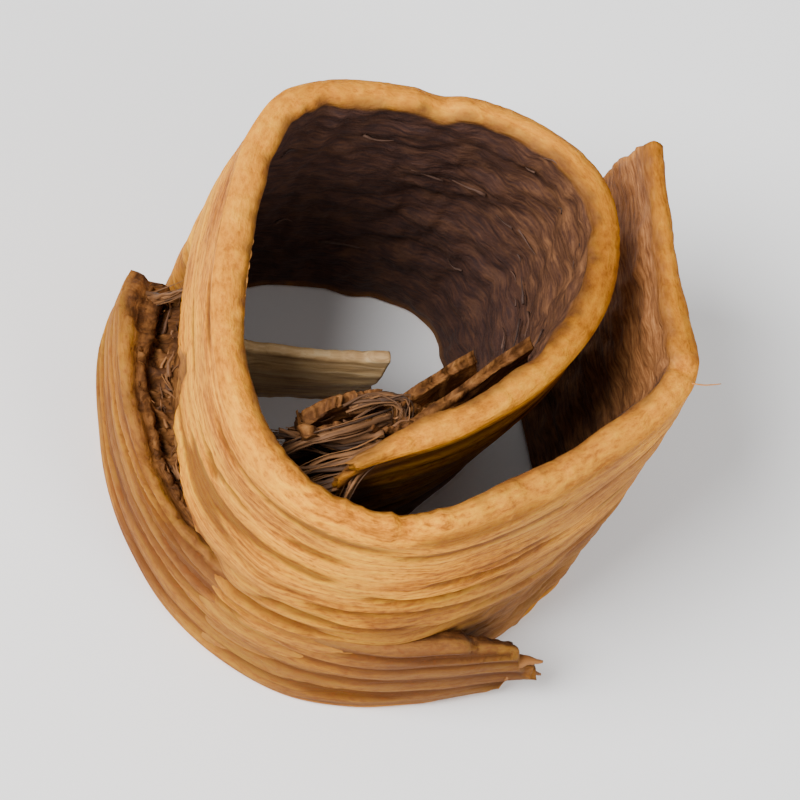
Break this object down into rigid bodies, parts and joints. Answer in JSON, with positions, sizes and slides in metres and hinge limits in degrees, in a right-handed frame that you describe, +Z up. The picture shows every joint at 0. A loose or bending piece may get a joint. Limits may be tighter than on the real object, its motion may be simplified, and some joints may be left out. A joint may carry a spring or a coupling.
{
  "type": "curled bark strip",
  "caption": "Curled strip of dried tooth-cleaning bark: a coil with a frayed inner end, a split outer layer and a torn tongue at its foot.",
  "frame": {"origin": "middle of the bounding box in X and Y, at the plane that the coil stands on", "axes": "+Z up along the axis of the coil, -Y towards the front where the outer layer is split, +X towards the crease of the flap and the torn tongue"},
  "size_m": [0.0559, 0.059, 0.037],
  "materials": {
    "bark": "dry, fibrous, golden tan outside, orange on the cut edges and dark brown inside"
  },
  "bodies": {
    "root": {"bark_roll": "bark"}
  },
  "joints": []
}
